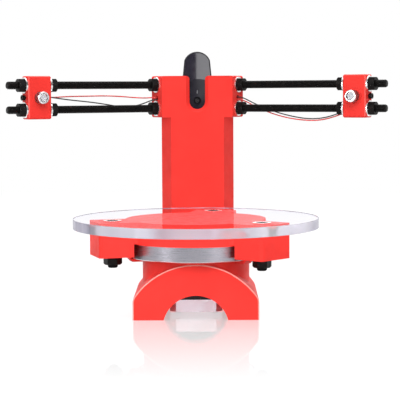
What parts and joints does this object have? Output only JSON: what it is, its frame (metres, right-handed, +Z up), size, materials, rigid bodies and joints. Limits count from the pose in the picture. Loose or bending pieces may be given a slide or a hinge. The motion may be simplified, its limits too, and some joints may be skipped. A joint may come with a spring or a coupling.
{
  "type": "three-d scanner",
  "caption": "Desktop laser scanner: motor-driven clear turntable on a ball-bearing base, joined by rods to a column with a webcam and a laser on each angled arm.",
  "frame": {"origin": "on the surface that it stands on, in the middle of the whole box of the object without its laser wires", "axes": "+Z up, +Y from the turntable back to the column, +X to the right as seen from the front"},
  "size_m": [0.3794, 0.48, 0.221],
  "materials": {
    "red_plastic": "printed satin",
    "clear_acrylic": "polished",
    "black_steel": "black oxide",
    "zinc_steel": "zinc plated",
    "bearing_steel": "ground satin",
    "cage_steel": "pressed",
    "motor_black": "black satin",
    "motor_aluminium": "die cast",
    "white_plastic": "moulded",
    "webcam_black": "glossy",
    "webcam_trim": "glossy",
    "lens_glass": "coated",
    "laser_brass": "nickel plated",
    "laser_glass": "polished",
    "black_rubber": "matt",
    "board_blue": "solder mask",
    "board_red": "solder mask",
    "header_black": "moulded",
    "socket_steel": "tinned",
    "sink_aluminium": "anodised",
    "terminal_green": "moulded",
    "wire_red": "insulation",
    "wire_black": "insulation"
  },
  "bodies": {
    "stand": {"arm_nuts_left": "black_steel", "arm_nuts_right": "black_steel", "arm_rod_left_lower": "black_steel", "arm_rod_left_upper": "black_steel", "arm_rod_right_lower": "black_steel", "arm_rod_right_upper": "black_steel", "arm_washers_left": "zinc_steel", "arm_washers_right": "zinc_steel", "base_housing": "red_plastic", "bearing_inner_ring": "bearing_steel", "board_screws": "black_steel", "button_housing": "header_black", "column": "red_plastic", "controller_board": "board_blue", "driver_heat_sink": "sink_aluminium", "driver_module": "board_red", "driver_shield": "board_red", "header_strips": "header_black", "laser_holder_left": "red_plastic", "laser_holder_right": "red_plastic", "laser_terminals": "terminal_green", "laser_wire_left_black": "wire_black", "laser_wire_left_red": "wire_red", "laser_wire_right_black": "wire_black", "laser_wire_right_red": "wire_red", "link_nuts": "black_steel", "link_rods": "black_steel", "link_washers": "zinc_steel", "motor_bearings": "bearing_steel", "motor_front_bell": "motor_aluminium", "motor_header": "white_plastic", "motor_rear_bell": "motor_aluminium", "motor_screws": "black_steel", "motor_socket": "white_plastic", "motor_stator": "motor_black", "mount_screws": "black_steel", "power_jack": "header_black", "usb_socket": "socket_steel", "webcam_body": "webcam_black", "webcam_faceplate": "webcam_black", "webcam_lens": "lens_glass", "webcam_lens_plate": "webcam_black", "webcam_lens_ring": "webcam_trim"},
    "turntable": {"clear_disc": "clear_acrylic", "hub": "red_plastic", "disc_screws": "black_steel", "disc_nuts": "black_steel", "bearing_outer_ring": "bearing_steel", "motor_rotor": "bearing_steel"},
    "cage": {"ball_cage": "cage_steel", "bearing_balls": "bearing_steel"},
    "laser_left": {"laser_barrel_left": "laser_brass", "laser_lens_left": "laser_glass", "laser_boot_left": "black_rubber"},
    "laser_right": {"laser_barrel_right": "laser_brass", "laser_lens_right": "laser_glass", "laser_boot_right": "black_rubber"},
    "clamp_left": {"clamp_screw_left": "black_steel"},
    "clamp_right": {"clamp_screw_right": "black_steel"},
    "button": {"reset_button": "header_black"}
  },
  "joints": [
    {"name": "turntable_spin", "type": "hinge", "parent": "stand", "child": "turntable", "pos_m": [0, -0.14, 0.053], "axis": [0, 0, 1], "continuous": true},
    {"name": "cage_orbit", "type": "hinge", "parent": "stand", "child": "cage", "pos_m": [0, -0.14, 0.053], "axis": [0, 0, 1], "continuous": true},
    {"name": "laser_left_roll", "type": "hinge", "parent": "stand", "child": "laser_left", "pos_m": [-0.16033, 0.13564, 0.1744], "axis": [0.5, -0.866, 0], "range_deg": [-45, 45]},
    {"name": "clamp_left_turn", "type": "hinge", "parent": "stand", "child": "clamp_left", "pos_m": [-0.16033, 0.13564, 0.1744], "axis": [-0.866, -0.5, 0], "range_deg": [0, 180]},
    {"name": "laser_right_roll", "type": "hinge", "parent": "stand", "child": "laser_right", "pos_m": [0.16033, 0.13564, 0.1744], "axis": [-0.5, -0.866, 0], "range_deg": [-45, 45]},
    {"name": "clamp_right_turn", "type": "hinge", "parent": "stand", "child": "clamp_right", "pos_m": [0.16033, 0.13564, 0.1744], "axis": [0.866, -0.5, 0], "range_deg": [0, 180]},
    {"name": "reset_press", "type": "slide", "parent": "stand", "child": "button", "axis": [0, -1, 0], "range_m": [0, 0.0003], "stiffness_N_per_m": 2000, "springref_m": -0.0002}
  ],
  "couplings": [
    {"joint": "cage_orbit", "follows": "turntable_spin", "ratio": 0.5578}
  ]
}
